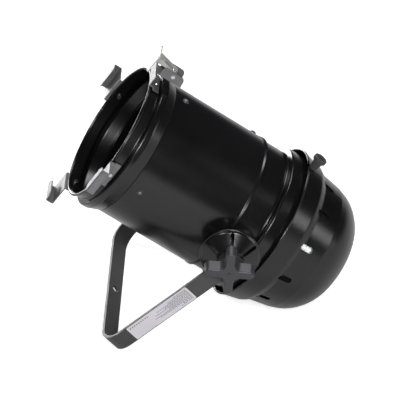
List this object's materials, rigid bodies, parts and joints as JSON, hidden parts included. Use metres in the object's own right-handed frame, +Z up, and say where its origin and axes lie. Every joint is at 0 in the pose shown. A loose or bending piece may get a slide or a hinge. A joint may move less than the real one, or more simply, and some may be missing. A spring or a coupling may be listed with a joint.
{
  "type": "stage lighting can",
  "caption": "Black spun-metal stage lighting can in a flat-bar yoke, with star tilt knobs, colour frame clips, a sprung latch and a vented rear cap.",
  "frame": {"origin": "on the floor under the middle of the whole object", "axes": "+Z up, the tilt axis along Y, the beam aimed up and towards -X; the left side is -Y"},
  "size_m": [0.4164, 0.328, 0.3987],
  "materials": {
    "black_shell": "satin black stove enamel over spun sheet",
    "black_frame": "satin black powder coat on flat bar",
    "clip_steel": "gloss black over pressed steel",
    "zinc_steel": "bright zinc plate",
    "knob_plastic": "fine-textured moulding",
    "rubber_black": "smooth matt",
    "lamp_glass": "clear pressed glass with moulded flutes",
    "reflector_silver": "aluminised glass",
    "burner_quartz": "clear quartz",
    "ceramic_white": "unglazed ceramic",
    "contact_nickel": "nickel plate",
    "lead_brown": "insulated wire",
    "lead_blue": "insulated wire",
    "label_foil": "printed silver foil"
  },
  "bodies": {
    "yoke_frame": {"yoke": "black_frame", "rating_label": "label_foil", "friction_washer_left": "rubber_black", "friction_washer_right": "rubber_black", "clamp_washer_left": "zinc_steel", "clamp_washer_right": "zinc_steel"},
    "lamp_head": {"nose_ring": "black_shell", "barrel_tube": "black_shell", "nose_rivets": "black_frame", "rear_collar": "black_shell", "lamp_band": "black_shell", "lamp_lens": "lamp_glass", "lamp_reflector": "reflector_silver", "lamp_burner": "burner_quartz", "lamp_base": "ceramic_white", "lamp_prongs": "contact_nickel", "lamp_retaining_ring": "zinc_steel", "thumb_nut": "zinc_steel", "gel_clip_left": "clip_steel", "gel_clip_bottom": "clip_steel", "gel_clip_right": "clip_steel", "clip_rivets": "zinc_steel", "latch_bracket": "clip_steel", "latch_pin": "zinc_steel", "latch_spring": "zinc_steel", "pivot_dish_left": "black_shell", "pivot_dish_right": "black_shell", "pivot_spacer_left": "zinc_steel", "pivot_spacer_right": "zinc_steel", "pivot_bolt_left": "zinc_steel", "pivot_bolt_right": "zinc_steel"},
    "cap_assembly": {"rear_cap": "black_shell", "vent_baffle": "zinc_steel", "lamp_socket": "ceramic_white", "terminal_block": "ceramic_white", "terminal_bracket": "zinc_steel", "bracket_rivet": "zinc_steel", "live_lead": "lead_brown", "neutral_lead": "lead_blue", "cable_grommet": "rubber_black", "earth_screw": "zinc_steel", "earth_nut": "zinc_steel"},
    "left_knob": {"star_knob_left": "knob_plastic", "knob_insert_left": "zinc_steel"},
    "right_knob": {"star_knob_right": "knob_plastic", "knob_insert_right": "zinc_steel"},
    "frame_latch": {"latch_plate": "clip_steel"},
    "cap_screw": {"thumb_screw": "black_frame"}
  },
  "joints": [
    {"name": "head_tilt", "type": "hinge", "parent": "yoke_frame", "child": "lamp_head", "pos_m": [0.04186, 0, 0.15177], "axis": [0, 1, 0], "range_deg": [-38, 230]},
    {"name": "cap_slide", "type": "slide", "parent": "lamp_head", "child": "cap_assembly", "axis": [0.7986, 0, -0.6018], "range_m": [0, 0.15]},
    {"name": "left_knob_turn", "type": "hinge", "parent": "lamp_head", "child": "left_knob", "pos_m": [0.04186, -0.15, 0.15177], "axis": [0, -1, 0], "range_deg": [0, 360]},
    {"name": "right_knob_turn", "type": "hinge", "parent": "lamp_head", "child": "right_knob", "pos_m": [0.04186, 0.15, 0.15177], "axis": [0, 1, 0], "range_deg": [0, 360]},
    {"name": "latch_swing", "type": "hinge", "parent": "lamp_head", "child": "frame_latch", "pos_m": [-0.02936, 0, 0.36134], "axis": [0, 1, 0], "range_deg": [0, 95], "stiffness_Nm_per_rad": 0.05, "springref_deg": -28.65},
    {"name": "cap_screw_turn", "type": "hinge", "parent": "lamp_head", "child": "cap_screw", "pos_m": [0.153, 0, 0.21202], "axis": [0.6018, 0, 0.7986], "range_deg": [0, 360]}
  ]
}
